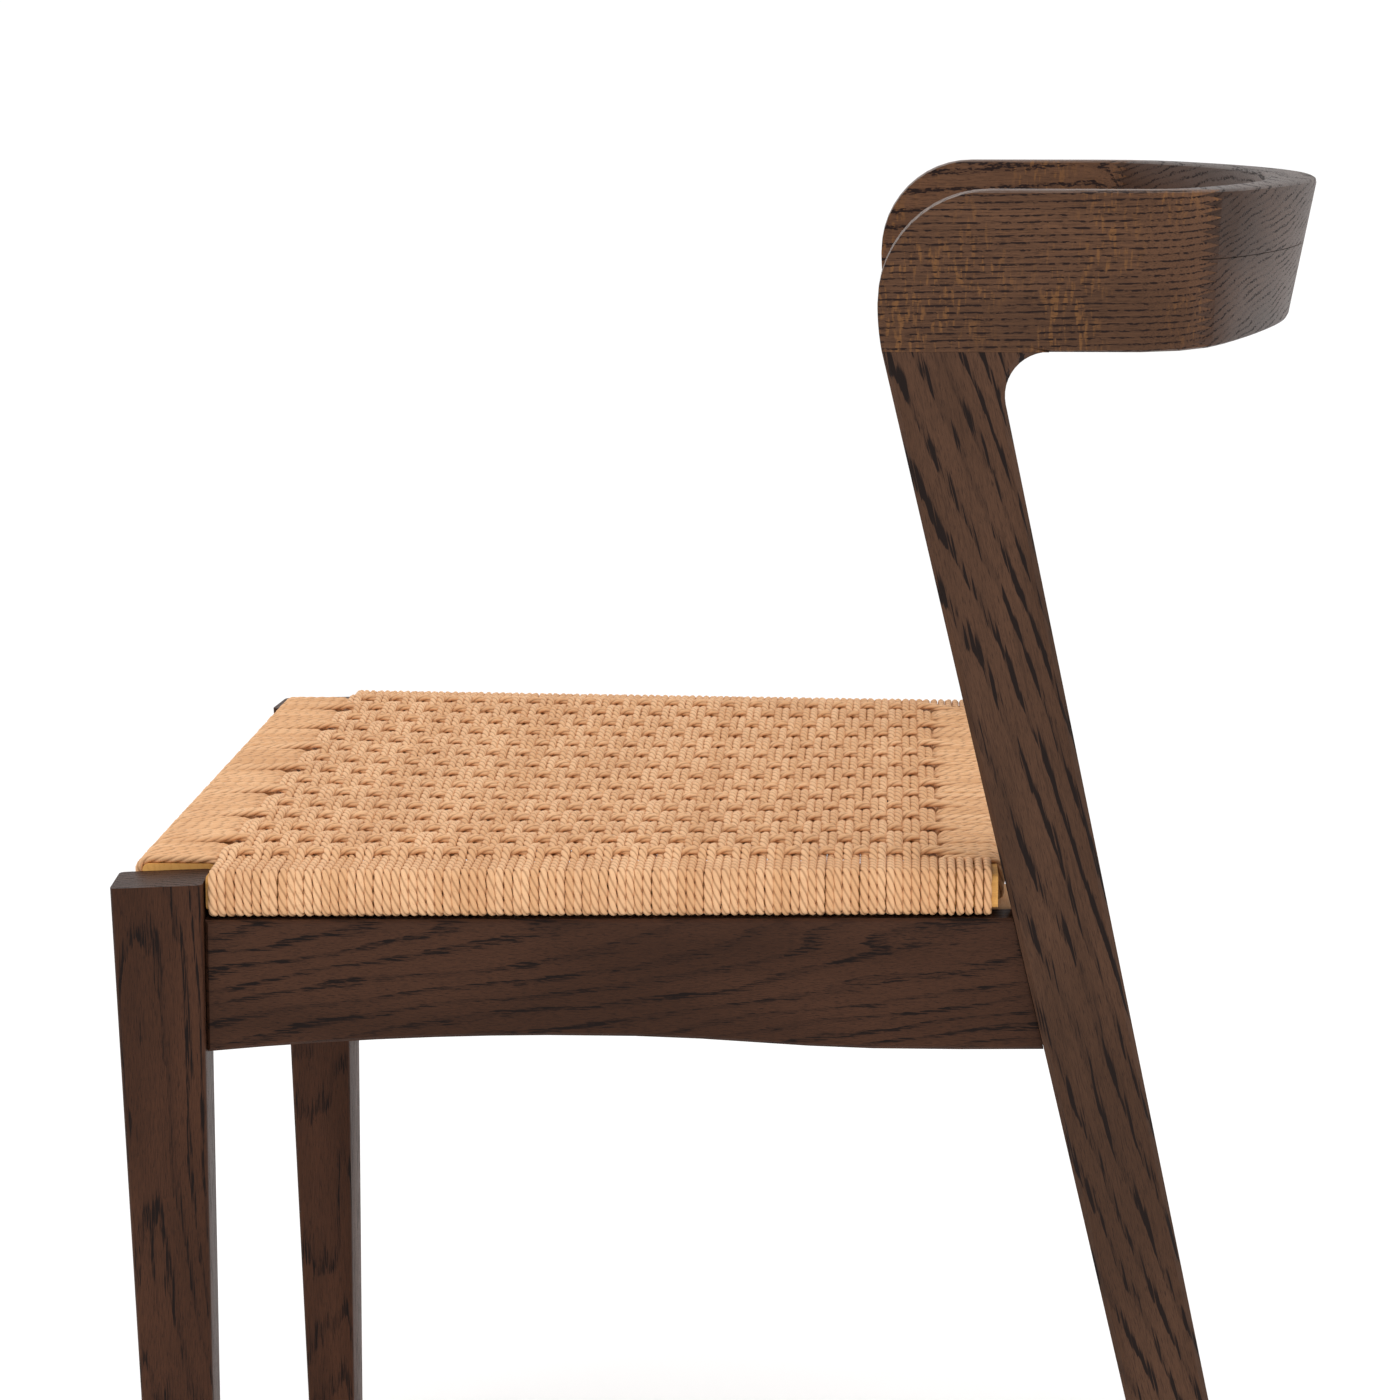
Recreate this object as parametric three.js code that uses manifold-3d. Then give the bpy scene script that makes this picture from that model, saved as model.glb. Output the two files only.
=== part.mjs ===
// Dining armchair: tapered legs, a horseshoe arm and back band, and a drop-in seat woven with paper cord.
// Millimetres. +Z is up, the sitter faces -Y, the sitter's left is +X. The origin is on the floor, under
// the middle of the chair. While it is built, y = 0 is the front corner of the front legs.
import * as THREE from "three";
import { mergeVertices } from "three/addons/utils/BufferGeometryUtils.js";
import Module from "manifold-3d";

const wasm = await Module();
wasm.setup();

// ---- Driving dimensions ----
const gap = 0.3; // left between pieces that touch
const degree = Math.PI / 180;

// Front legs: their tops are level with the seat; they taper on the front and the outer face.
const frontWidth = 540; // over the outer faces, at the front, at the top
const legTop = 455;
const legTopFall = 1.5; // the top slopes down to the front
const frontLeg = { thick: 38, wide: 41, taperOuter: 10, taperFront: 16, edge: 3 };

// Rear legs: a leaning plank each, with a curve under the arm.
const rearLeg = {
  thick: 30,
  footFront: 505.7, // y of the front and rear edges at the floor
  footRear: 537.5,
  topFront: 340, // and where they meet the arm's underside
  topRear: 389.6,
  splay: 14.8, // how much further out the foot stands than the top
  armpit: 19, // radius between the rear edge and the arm's underside
  edge: 2.5,
};

// Arm and back band
const band = {
  halfWidth: 239, // to the outer face of the arms
  top: 760,
  height: 70,
  noseY: 338, // foremost point of the arms
  noseRadius: 49, // front top corner of the arms
  chinRadius: 110, // from the nose down to the leg's leaning front edge
  backY: 549.5, // rearmost point
  backRadius: 453, // of the back, in plan, at the top of the outer face
  cornerRadius: 50, // between the arms and the back
  backThick: 24,
  backLean: 12.8, // the top of the back stands this far behind its bottom
  backRise: 3, // the underside of the back is higher than the arms'
  glueLine: 30, // between the upper and lower boards of the back, down from the top
  edge: 3,
  steps: 40,
};
const fingers = { at: 39 * degree, pitch: 4, length: 11, slant: 4 }; // at: round the corner from the arm

// Aprons
const apron = {
  thick: 22,
  drop: 17.2, // from the legs' tops down to the aprons' tops
  height: 60,
  setBack: 5.7, // behind the front legs' outer faces
  rearSetBack: 4.6, // and behind the rear legs' outer faces
  arch: 7,
  flatEnd: 36, // straight stretch of the side apron's lower edge, at the rear leg
  edge: 1.5,
  frontSetBack: 7, // front apron behind the front of the legs
  rearSetIn: 3, // rear apron behind the rear legs' front edges
};

// Glued dowels, wood screws and glides
const dowel = { diameter: 8, length: 36, inset: 14, clearance: 0.3 }; // inset: from an apron's edges
const crossDowelInset = 9; // the front and rear aprons' dowels stand this much closer together
const armDowel = { diameter: 10, length: 50, frontInset: 17, rearInset: 9.6 }; // from the leg's edges
const cornerBlock = { arm: 75, height: 25, screwAt: 45, headDepth: 22 };
const screw = { shank: 4, head: 8, headHeight: 3, length: 34, clearance: 0.3 };
const seatScrew = { inset: 45, fromFrontLeg: 12, fromRearEnd: 9, intoRail: 9 };
const glide = { radius: 9, height: 3.2, pin: 1.6, pinLength: 14, clearance: 0.3 };

// Drop-in seat: a light wooden frame wrapped and woven with cord
const cord = 3.8;
const seat = {
  restGap: 0.5, // above the aprons
  railThick: 15,
  sideWidth: 29,
  rearWidth: 24.5,
  heel: { pastLeg: 13.8, length: 22, drop: 3.5 }, // widens a side rail's front end in past the front leg
  overhang: 4, // the cords' outer face behind the legs' outer faces
  frontFace: 4, // y of the cords' front face
  rearGap: 1.5, // between the side rails' ends and the rear legs' front edges
  bareFront: 4, // bare wood behind the front legs
  bareRear: 2.5, // and at the side rails' rear ends
  edge: 2.5,
  tenon: { wide: 10, thick: 7, length: 20, clearance: 0.3 },
  panelThick: 6,
};

// ---- Worked-out sizes ----
const halfFront = frontWidth / 2;
const armUnderside = band.top - band.height;
const legBottom = glide.height + gap;
const apronTop = legTop - apron.drop;
const apronBottom = apronTop - apron.height;
const apronMiddle = apronTop - apron.height / 2;
const seatBottom = apronTop + seat.restGap;
const railBottom = seatBottom + cord;
const railTop = railBottom + seat.railThick;
const seatTop = railTop + cord;
const railOuter = seat.overhang + cord; // inward from the legs' outer faces
const railInner = railOuter + seat.sideWidth;
const heelInner = frontLeg.thick + seat.heel.pastLeg;
const frontRailY = seat.frontFace + cord;
const frontRailRearY = frontLeg.wide;
const sideRailY = frontRailRearY + gap;
const apronInner = apron.setBack + apron.thick;
const frontApronRearY = apron.frontSetBack + apron.thick;
const far = 400; // how far a cutting block reaches past the chair's pieces

// The rear leg's edges lean and its outer face splays.
const rearLegLean = (rearLeg.footFront - rearLeg.topFront) / armUnderside; // y per z, front edge
const rearEdgeLean = (rearLeg.footRear - rearLeg.topRear) / armUnderside;
const rearLegFrontY = (z) => rearLeg.footFront - rearLegLean * z;
const rearLegRearY = (z) => rearLeg.footRear - rearEdgeLean * z;
const rearLegOuterX = (z) => band.halfWidth + rearLeg.splay * (1 - z / armUnderside);
const rearApronY = rearLegFrontY(apronBottom) + apron.rearSetIn;
const seatRearEnd = rearLegFrontY(seatTop) - seat.rearGap;
const rearRailY = seatRearEnd - seat.rearWidth;

// The side aprons run from the front legs to the rear legs, so the seat narrows towards the rear.
const sideNarrowing = halfFront - apron.setBack - (rearLegOuterX(apronMiddle) - apron.rearSetBack);
const sideAngle = Math.atan(sideNarrowing / rearLegFrontY(apronMiddle));

// ---- Materials ----
const wood = (color) => new THREE.MeshStandardMaterial({ color, roughness: 0.45, metalness: 0 });
const stainedOak = (color) => wood(color ?? 0x4a3226);
const paleWood = () => wood(0xc9a676);
const beech = () => wood(0xb98f62);
const paperCord = () => new THREE.MeshStandardMaterial({ color: 0xcf9f76, roughness: 0.85, metalness: 0 });
const zincSteel = () => new THREE.MeshStandardMaterial({ color: 0xb9bcc0, roughness: 0.35, metalness: 1 });
const nylon = () => new THREE.MeshStandardMaterial({ color: 0x2a2624, roughness: 0.6, metalness: 0 });

// ---- Solids: joining, cutting and placing ----
function toSolid(geometry) {
  const bare = geometry.clone();
  bare.deleteAttribute("normal");
  bare.deleteAttribute("uv");
  const merged = mergeVertices(bare, 1e-4);
  return new wasm.Manifold(
    new wasm.Mesh({
      numProp: 3,
      vertProperties: new Float32Array(merged.attributes.position.array),
      triVerts: new Uint32Array(merged.index.array),
    }),
  );
}

function toGeometry(solid) {
  const mesh = solid.getMesh();
  const geometry = new THREE.BufferGeometry();
  geometry.setAttribute("position", new THREE.BufferAttribute(mesh.vertProperties, 3));
  geometry.setIndex(new THREE.BufferAttribute(mesh.triVerts, 1));
  const faceted = geometry.toNonIndexed();
  faceted.computeVertexNormals();
  return faceted;
}

const cut = (geometry, ...cutters) =>
  toGeometry(cutters.reduce((solid, cutter) => solid.subtract(toSolid(cutter)), toSolid(geometry)));
const common = (geometry, other) => toGeometry(toSolid(geometry).intersect(toSolid(other)));
const join = (geometry, ...others) =>
  toGeometry(others.reduce((solid, other) => solid.add(toSolid(other)), toSolid(geometry)));

// The same shape on the other side of the chair, still facing out.
function mirrored(geometry) {
  const copy = geometry.index ? geometry.toNonIndexed() : geometry.clone();
  copy.scale(-1, 1, 1);
  const positions = copy.attributes.position;
  const corner = new THREE.Vector3();
  const other = new THREE.Vector3();
  for (let i = 0; i < positions.count; i += 3) {
    corner.fromBufferAttribute(positions, i + 1);
    other.fromBufferAttribute(positions, i + 2);
    positions.setXYZ(i + 1, other.x, other.y, other.z);
    positions.setXYZ(i + 2, corner.x, corner.y, corner.z);
  }
  return copy;
}

const bothSides = (cutters) => cutters.flatMap((cutter) => [cutter, mirrored(cutter)]);

function box(x0, x1, y0, y1, z0, z1) {
  const geometry = new THREE.BoxGeometry(x1 - x0, y1 - y0, z1 - z0);
  return geometry.translate((x0 + x1) / 2, (y0 + y1) / 2, (z0 + z1) / 2);
}

function roundedRectangle(path, x0, x1, y0, y1, radius) {
  path.moveTo(x0 + radius, y0);
  path.absarc(x1 - radius, y0 + radius, radius, -Math.PI / 2, 0);
  path.absarc(x1 - radius, y1 - radius, radius, 0, Math.PI / 2);
  path.absarc(x0 + radius, y1 - radius, radius, Math.PI / 2, Math.PI);
  path.absarc(x0 + radius, y0 + radius, radius, Math.PI, 1.5 * Math.PI);
  path.closePath();
  return path;
}

// A board whose outline is drawn in (y, z), between two values of x, with eased edges.
function sideBoard(outline, x0, x1, edge = 0, curveSegments = 6) {
  const geometry = new THREE.ExtrudeGeometry(outline, {
    depth: x1 - x0 - 2 * edge,
    bevelEnabled: edge > 0,
    bevelSize: edge,
    bevelThickness: edge,
    bevelOffset: -edge,
    bevelSegments: 1,
    curveSegments,
  });
  geometry.translate(0, 0, x0 + edge);
  const axes = new THREE.Matrix4().makeBasis(
    new THREE.Vector3(0, 1, 0),
    new THREE.Vector3(0, 0, 1),
    new THREE.Vector3(1, 0, 0),
  );
  return geometry.applyMatrix4(axes);
}

const outlineOf = (...points) => new THREE.Shape(points.map(([a, b]) => new THREE.Vector2(a, b)));

// The left side's own frame: x = 0 is the front leg's outer face, y runs along the seat's side.
const sideFrame = new THREE.Matrix4()
  .makeTranslation(halfFront, 0, 0)
  .multiply(new THREE.Matrix4().makeRotationZ(sideAngle));
const inSideFrame = (geometry) => geometry.applyMatrix4(sideFrame);
const sidePoint = (inward, y, z) => new THREE.Vector3(-inward, y, z).applyMatrix4(sideFrame);
const sideDirection = new THREE.Vector3(0, 1, 0).transformDirection(sideFrame);
const sideX = (inward, y) => halfFront - inward - y * Math.tan(sideAngle);

// ---- Fasteners: each is a place, a direction and a shape, and its bore is the same with a clearance ----
const turnTo = (direction) =>
  new THREE.Quaternion().setFromUnitVectors(new THREE.Vector3(0, 0, 1), direction.clone().normalize());

function placed(geometry, at, direction) {
  return geometry.applyQuaternion(turnTo(direction)).translate(at.x, at.y, at.z);
}

// A rod centred on its place.
function rod(diameter, length) {
  const geometry = new THREE.CylinderGeometry(diameter / 2, diameter / 2, length, 12);
  return geometry.rotateX(Math.PI / 2);
}

function dowelBore(spec, size) {
  const room = 2 * dowel.clearance;
  return placed(rod(size.diameter + room, size.length + room), spec.at, spec.along);
}

// A solid turned about its own z axis, from (radius, height) pairs that start and end on the axis.
function turned(profile, segments = 12) {
  const points = profile.map(([radius, height]) => new THREE.Vector2(radius, height));
  return new THREE.LatheGeometry(points, segments).rotateX(Math.PI / 2);
}

// A countersunk wood screw: the head's face is at its place and the point is ahead of it.
function screwShape(length, clearance = 0) {
  const shank = screw.shank / 2 + clearance;
  const head = screw.head / 2 + clearance;
  const tip = length + clearance;
  return turned([
    [0, -clearance],
    [head, -clearance],
    [shank, screw.headHeight],
    [shank, tip - screw.shank],
    [0, tip],
  ]);
}

// The screw's bore, with a straight well in front of its head.
function screwBore(spec, well) {
  const clearance = screw.clearance;
  const bore = screwShape(spec.length, clearance);
  if (!well) return placed(bore, spec.at, spec.along);
  const shaft = rod(screw.head + 2 * clearance, well).translate(0, 0, -well / 2);
  return placed(join(bore, shaft), spec.at, spec.along);
}

// ---- Front leg ----
function frontLegShape() {
  const section = roundedRectangle(new THREE.Shape(), -frontLeg.thick, 0, 0, frontLeg.wide, frontLeg.edge);
  const height = legTop - legBottom;
  const geometry = new THREE.ExtrudeGeometry(section, {
    depth: height,
    bevelEnabled: false,
    curveSegments: 2,
  });
  const positions = geometry.attributes.position;
  for (let i = 0; i < positions.count; i++) {
    const inward = -positions.getX(i);
    const back = positions.getY(i);
    const z = positions.getZ(i) + legBottom;
    const down = (legTop - z) / legTop;
    const outerShare = 1 - inward / frontLeg.thick;
    const frontShare = 1 - back / frontLeg.wide;
    const atTop = z > legTop - 1;
    positions.setXYZ(
      i,
      -inward - frontLeg.taperOuter * down * outerShare,
      back + frontLeg.taperFront * down * frontShare,
      atTop ? z - legTopFall * frontShare : z,
    );
  }
  return inSideFrame(geometry);
}

// ---- Rear leg ----
const splayOut = (geometry) =>
  geometry.applyMatrix4(new THREE.Matrix4().makeShear(0, 0, 0, 0, -rearLeg.splay / armUnderside, 0));

// The armpit's arc touches the leaning rear edge and the arm's underside.
function armpitArc() {
  const tilt = Math.atan(rearEdgeLean);
  const centreZ = armUnderside - rearLeg.armpit;
  const centreY = rearLegRearY(centreZ) + rearLeg.armpit / Math.cos(tilt);
  return { centreY, centreZ, from: Math.PI + tilt, to: Math.PI / 2 };
}

function rearLegOutline(top) {
  const outline = new THREE.Shape();
  outline.moveTo(rearLegFrontY(legBottom), legBottom);
  outline.lineTo(rearLegRearY(legBottom), legBottom);
  const arc = armpitArc();
  outline.absarc(arc.centreY, arc.centreZ, rearLeg.armpit, arc.from, arc.to, true);
  outline.lineTo(arc.centreY, top);
  outline.lineTo(rearLegFrontY(top), top);
  outline.closePath();
  return outline;
}

function rearLegShape() {
  const outerX = band.halfWidth + rearLeg.splay;
  const outline = rearLegOutline(armUnderside + rearLeg.armpit);
  const plank = sideBoard(outline, outerX - rearLeg.thick, outerX, rearLeg.edge);
  const above = box(0, far, 0, 2 * far, armUnderside - gap / 2, 2 * far);
  return cut(splayOut(plank), above);
}

// Everything from the rear leg's front edge back, for trimming what butts against the leg. `inward` is
// how far in it reaches from the leg's outer face.
function rearLegZone(inward = rearLeg.thick + gap) {
  const outerX = band.halfWidth + rearLeg.splay;
  const zone = outlineOf(
    [rearLegFrontY(0) - gap, 0],
    [rearLegFrontY(0) + far, 0],
    [rearLegFrontY(armUnderside) + far, armUnderside],
    [rearLegFrontY(armUnderside) - gap, armUnderside],
  );
  return splayOut(sideBoard(zone, outerX - inward, outerX + far));
}

// ---- Arm and back band ----
// The corner's arc touches the straight arm and the back's arc from inside.
const cornerCentre = new THREE.Vector2(
  band.halfWidth - band.cornerRadius,
  band.backY -
    band.backRadius +
    Math.sqrt((band.backRadius - band.cornerRadius) ** 2 - (band.halfWidth - band.cornerRadius) ** 2),
);
const backCentreY = band.backY - band.backRadius;
const cornerTurn = Math.atan2(cornerCentre.y - backCentreY, cornerCentre.x);

// The outer top edge in plan, from the left arm's nose round the back to the right arm's nose.
function bandLine() {
  const line = new THREE.Path();
  const { x, y } = cornerCentre;
  line.moveTo(band.halfWidth, band.noseY - band.edge);
  line.lineTo(band.halfWidth, y);
  line.absarc(x, y, band.cornerRadius, 0, cornerTurn);
  line.absarc(0, backCentreY, band.backRadius, cornerTurn, Math.PI - cornerTurn);
  line.absarc(-x, y, band.cornerRadius, Math.PI - cornerTurn, Math.PI);
  line.lineTo(-band.halfWidth, band.noseY - band.edge);
  line.arcLengthDivisions = 400;
  return line;
}

// The swept band: a section board bent along the line, thinner, leaning and a little higher at the back.
function bandShape() {
  const section = roundedRectangle(new THREE.Shape(), 0, rearLeg.thick, 0, band.height, band.edge);
  const geometry = new THREE.ExtrudeGeometry(section, {
    depth: 1,
    steps: band.steps,
    bevelEnabled: false,
    curveSegments: 1,
  });
  const line = bandLine();
  const positions = geometry.attributes.position;
  for (let i = 0; i < positions.count; i++) {
    const along = THREE.MathUtils.clamp(positions.getZ(i), 0, 1);
    const at = line.getPointAt(along);
    const tangent = line.getTangentAt(along);
    const backness = THREE.MathUtils.smoothstep(at.y, cornerCentre.y, band.backY);
    const height = positions.getY(i) / band.height;
    const thick = THREE.MathUtils.lerp(rearLeg.thick, band.backThick, backness);
    const inward = (positions.getX(i) / rearLeg.thick) * thick + band.backLean * backness * (1 - height);
    const low = armUnderside + band.backRise * backness;
    positions.setXYZ(
      i,
      at.x - inward * tangent.y,
      at.y + inward * tangent.x,
      low + height * (band.top - low),
    );
  }
  return geometry;
}

// The arms' side outline: flat top, round nose, and a slow curve into the leg's leaning front edge.
function bandOutline() {
  const nose = { y: band.noseY + band.noseRadius, z: band.top - band.noseRadius };
  const lean = Math.atan(rearLegLean);
  const outline = new THREE.Shape();
  outline.moveTo(2 * far, band.top + 1);
  outline.lineTo(nose.y, band.top + 1);
  outline.lineTo(nose.y, band.top);
  outline.absarc(nose.y, nose.z, band.noseRadius, Math.PI / 2, Math.PI);
  outline.absarc(band.noseY + band.chinRadius, nose.z, band.chinRadius, Math.PI, Math.PI + lean);
  outline.lineTo(rearLegFrontY(armUnderside - 1), armUnderside - 1);
  outline.lineTo(2 * far, armUnderside - 1);
  outline.closePath();
  return outline;
}

// Over the leg the arm's lower edges stay square, so that leg and arm are flush. The strip runs out where
// the armpit's arc meets the arm.
function armSeatShape() {
  const end = armpitArc().centreY;
  const outline = outlineOf(
    [0, armUnderside],
    [end, armUnderside],
    [end - 4 * band.edge, armUnderside + band.edge],
    [0, armUnderside + band.edge],
  );
  const strip = sideBoard(outline, band.halfWidth - rearLeg.thick, band.halfWidth);
  return common(strip, sideBoard(bandOutline(), -far, far));
}

// All on the arm's side of the finger joint; the teeth point along the band. `shift` makes the glue gap.
function fingerZone(shift) {
  const spoke = new THREE.Vector2(Math.cos(fingers.at), Math.sin(fingers.at));
  const at = cornerCentre.clone().addScaledVector(spoke, band.cornerRadius);
  const ahead = new THREE.Vector3(-Math.sin(fingers.at), Math.cos(fingers.at), 0);
  const outline = new THREE.Shape();
  const low = armUnderside - fingers.pitch;
  const count = Math.ceil(band.height / fingers.pitch) + 2;
  outline.moveTo(-far, low);
  for (let i = 0; i < 2 * count; i++) {
    const tooth = i % 2 ? fingers.length / 2 : -fingers.length / 2;
    const slant = (fingers.slant * i) / (2 * count) - fingers.slant / 2;
    outline.lineTo(tooth + slant + shift, low + (i * fingers.pitch) / 2);
  }
  outline.lineTo(-far, low + count * fingers.pitch);
  outline.closePath();
  const geometry = new THREE.ExtrudeGeometry(outline, { depth: 2 * far, bevelEnabled: false });
  geometry.translate(0, 0, -far);
  const across = new THREE.Vector3(0, 0, 1).cross(ahead).negate();
  const axes = new THREE.Matrix4().makeBasis(ahead, new THREE.Vector3(0, 0, 1), across);
  return geometry.applyMatrix4(axes).translate(at.x, at.y, 0);
}

// ---- Aprons ----
function sideApronShape() {
  const start = frontLeg.wide + gap;
  const end = rearLegFrontY(apronBottom) + apron.thick;
  const flatFrom = rearLegFrontY(apronBottom) - apron.flatEnd;
  const crown = start + (flatFrom - start) * 0.45;
  const archTop = apronBottom + apron.arch;
  const outline = new THREE.Shape();
  outline.moveTo(start, apronTop);
  outline.lineTo(start, apronBottom);
  outline.quadraticCurveTo((start + crown) / 2, archTop, crown, archTop);
  const turn = (crown + flatFrom) / 2;
  outline.bezierCurveTo(turn, archTop, turn, apronBottom, flatFrom, apronBottom);
  outline.lineTo(end, apronBottom);
  outline.lineTo(end, apronTop);
  outline.closePath();
  const board = sideBoard(outline, -apronInner, -apron.setBack, apron.edge);
  return cut(inSideFrame(board), rearLegZone(far));
}

// A board across the chair, drawn in (x, z), with the same arch under it.
function crossBoard(halfLength, y0, y1) {
  const outline = new THREE.Shape();
  outline.moveTo(-halfLength, apronTop);
  outline.lineTo(-halfLength, apronBottom);
  outline.quadraticCurveTo(0, apronBottom + 2 * apron.arch, halfLength, apronBottom);
  outline.lineTo(halfLength, apronTop);
  outline.closePath();
  const board = sideBoard(outline, -y1, -y0, apron.edge);
  return board.rotateZ(-Math.PI / 2);
}

// The room that the front leg takes, with the gap.
const frontLegZone = () =>
  inSideFrame(box(-frontLeg.thick - gap, far, -far, frontLeg.wide + gap, 0, 2 * far));

// ---- Corner blocks ----
// corner: where the inner faces of two aprons meet; inwardY: 1 or -1, from the cross apron into the chair.
function cornerBlockShape(corner, inwardY, zones) {
  const overlap = 15; // drawn past the aprons, then trimmed to them
  const reach = cornerBlock.arm + overlap;
  const outline = outlineOf(
    [corner.x + overlap, corner.y - inwardY * overlap],
    [corner.x - reach, corner.y - inwardY * overlap],
    [corner.x + overlap, corner.y + inwardY * reach],
  );
  const block = new THREE.ExtrudeGeometry(outline, { depth: cornerBlock.height, bevelEnabled: false });
  block.translate(0, 0, apronTop - cornerBlock.height - gap);
  return cut(block, ...zones);
}

const insideSideApron = () =>
  inSideFrame(box(-apronInner - gap, far, -far, 2 * far, 0, 2 * far));

// ---- Joints of the left side, shared by the pieces that they pass through ----
const zPair = [apronBottom + dowel.inset, apronTop - dowel.inset];
const crossPair = [zPair[0] + crossDowelInset, zPair[1] - crossDowelInset];
const apronCentre = apron.setBack + apron.thick / 2;
const frontCross = apron.frontSetBack + apron.thick / 2;
const rearCross = rearApronY + apron.thick / 2;
const rearLegInnerX = (z) => rearLegOuterX(z) - rearLeg.thick;

const frontSideDowels = zPair.map((z) => ({
  at: sidePoint(apronCentre, frontLeg.wide, z),
  along: sideDirection,
}));
const rearSideDowels = zPair.map((z) => {
  const y = rearLegFrontY(z);
  return { at: new THREE.Vector3(sideX(apronCentre, y), y, z), along: sideDirection };
});
const acrossX = new THREE.Vector3(1, 0, 0);
const frontCrossDowels = crossPair.map((z) => ({
  at: new THREE.Vector3(sideX(frontLeg.thick, frontCross), frontCross, z),
  along: acrossX,
}));
const rearCrossDowels = crossPair.map((z) => ({
  at: new THREE.Vector3(rearLegInnerX(z), rearCross, z),
  along: acrossX,
}));
const armCentreX = band.halfWidth - rearLeg.thick / 2;
const armDowelYs = [rearLeg.topFront + armDowel.frontInset, rearLeg.topRear - armDowel.rearInset];
const armDowels = armDowelYs.map((y) => ({
  at: new THREE.Vector3(armCentreX, y, armUnderside),
  along: new THREE.Vector3(0, 0, 1),
}));

const frontCorner = { x: sideX(apronInner, frontApronRearY), y: frontApronRearY };
const rearCorner = { x: sideX(apronInner, rearApronY), y: rearApronY };
const blockMiddle = apronTop - gap - cornerBlock.height / 2;

// Two level screws through a corner block: one into the side apron, one into the cross apron.
function blockScrews(corner, inwardY) {
  const sideY = corner.y + inwardY * cornerBlock.screwAt;
  const sideFace = sideX(apronInner, sideY);
  return [
    {
      at: new THREE.Vector3(sideFace - cornerBlock.headDepth, sideY, blockMiddle),
      along: acrossX,
      length: screw.length,
    },
    {
      at: new THREE.Vector3(
        corner.x - cornerBlock.screwAt,
        corner.y + inwardY * cornerBlock.headDepth,
        blockMiddle,
      ),
      along: new THREE.Vector3(0, -inwardY, 0),
      length: screw.length,
    },
  ];
}

// An upright screw from under a corner block into the seat: into the heel at the front, and into the
// rear rail at the rear.
function seatScrewAt(y) {
  const start = apronTop - gap - cornerBlock.height;
  return {
    at: new THREE.Vector3(sideX(seatScrew.inset, y), y, start),
    along: new THREE.Vector3(0, 0, 1),
    length: railBottom + seatScrew.intoRail - start,
  };
}
const frontSeatScrew = seatScrewAt(frontLeg.wide + seatScrew.fromFrontLeg);
const rearSeatScrew = seatScrewAt(seatRearEnd - seatScrew.fromRearEnd);

const bores = (specs, size) => specs.map((spec) => dowelBore(spec, size));
const wells = (specs) => specs.map((spec) => screwBore(spec, cornerBlock.arm));

// Glides stand under the middle of each foot.
const footTaper = (legTop - legBottom) / legTop;
const frontFoot = sidePoint(
  (frontLeg.thick + frontLeg.taperOuter * footTaper) / 2,
  (frontLeg.wide + frontLeg.taperFront * footTaper) / 2,
  0,
);
const rearFoot = new THREE.Vector3(
  rearLegOuterX(0) - rearLeg.thick / 2,
  (rearLegFrontY(legBottom) + rearLegRearY(legBottom)) / 2,
  0,
);

function glideShape(clearance = 0) {
  const pin = glide.pin / 2 + clearance;
  return turned([
    [0, 0],
    [glide.radius - 1, 0],
    [glide.radius, 1],
    [glide.radius, glide.height],
    [pin, glide.height],
    [pin, glide.height + glide.pinLength + clearance],
    [0, glide.height + glide.pinLength + clearance],
  ]);
}
const glideBore = (foot) => glideShape(glide.clearance).translate(foot.x, foot.y, foot.z);

// ---- Drop-in seat frame ----
const tenonMiddle = railBottom + seat.railThick / 2;
const tenonLow = tenonMiddle - seat.tenon.thick / 2;
const tenonHigh = tenonMiddle + seat.tenon.thick / 2;
const sideTenonFrom = frontLeg.thick + 2; // inward from the leg's outer face
const railRoot = heelInner * Math.sin(sideAngle) + 2; // the tenon's root runs this far into the heel

// The side rail's tenon in the front rail, and the mortise around it.
function sideTenon(clearance = 0) {
  return inSideFrame(
    box(
      -sideTenonFrom - seat.tenon.wide - clearance,
      -sideTenonFrom + clearance,
      sideRailY - seat.tenon.length - clearance,
      sideRailY + (clearance ? far : railRoot),
      tenonLow - clearance,
      tenonHigh + clearance,
    ),
  );
}

// The rear rail's tenon in the side rail, and the mortise around it.
function rearTenon(clearance = 0) {
  const shoulder = seat.rearWidth / 4;
  return inSideFrame(
    box(
      -railInner - (clearance ? clearance + gap : 2),
      -railInner + seat.tenon.length + clearance,
      rearRailY + shoulder - clearance,
      rearRailY + 3 * shoulder + clearance,
      tenonLow - clearance,
      tenonHigh + clearance,
    ),
  );
}

const railCurve = 2; // facets of the rails' and loops' rounded corners
const railSection = (path, x0, x1, grow = 0) =>
  roundedRectangle(path, x0 - grow, x1 + grow, railBottom - grow, railTop + grow, seat.edge + grow);

// A bar along y, from a section drawn in (x, z).
function barAlongY(section, y0, y1) {
  const settings = { depth: y1 - y0, bevelEnabled: false, curveSegments: railCurve };
  const geometry = new THREE.ExtrudeGeometry(section, settings);
  return geometry.rotateX(Math.PI / 2).translate(0, y1, 0);
}

// The heel starts inside the rail; grown by a clearance, it is the room that the cord leaves for it.
function heelShape(clearance = 0) {
  const root = 2 * seat.edge;
  return inSideFrame(
    box(
      -heelInner - clearance,
      -railInner + root,
      0,
      sideRailY + seat.heel.length + clearance,
      railBottom - clearance,
      railTop - seat.heel.drop + clearance,
    ),
  );
}

const beforeY = (y) => box(0, far, -far, y, 0, 2 * far);
const behindY = (y) => box(0, far, y, 2 * far, 0, 2 * far);

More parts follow.
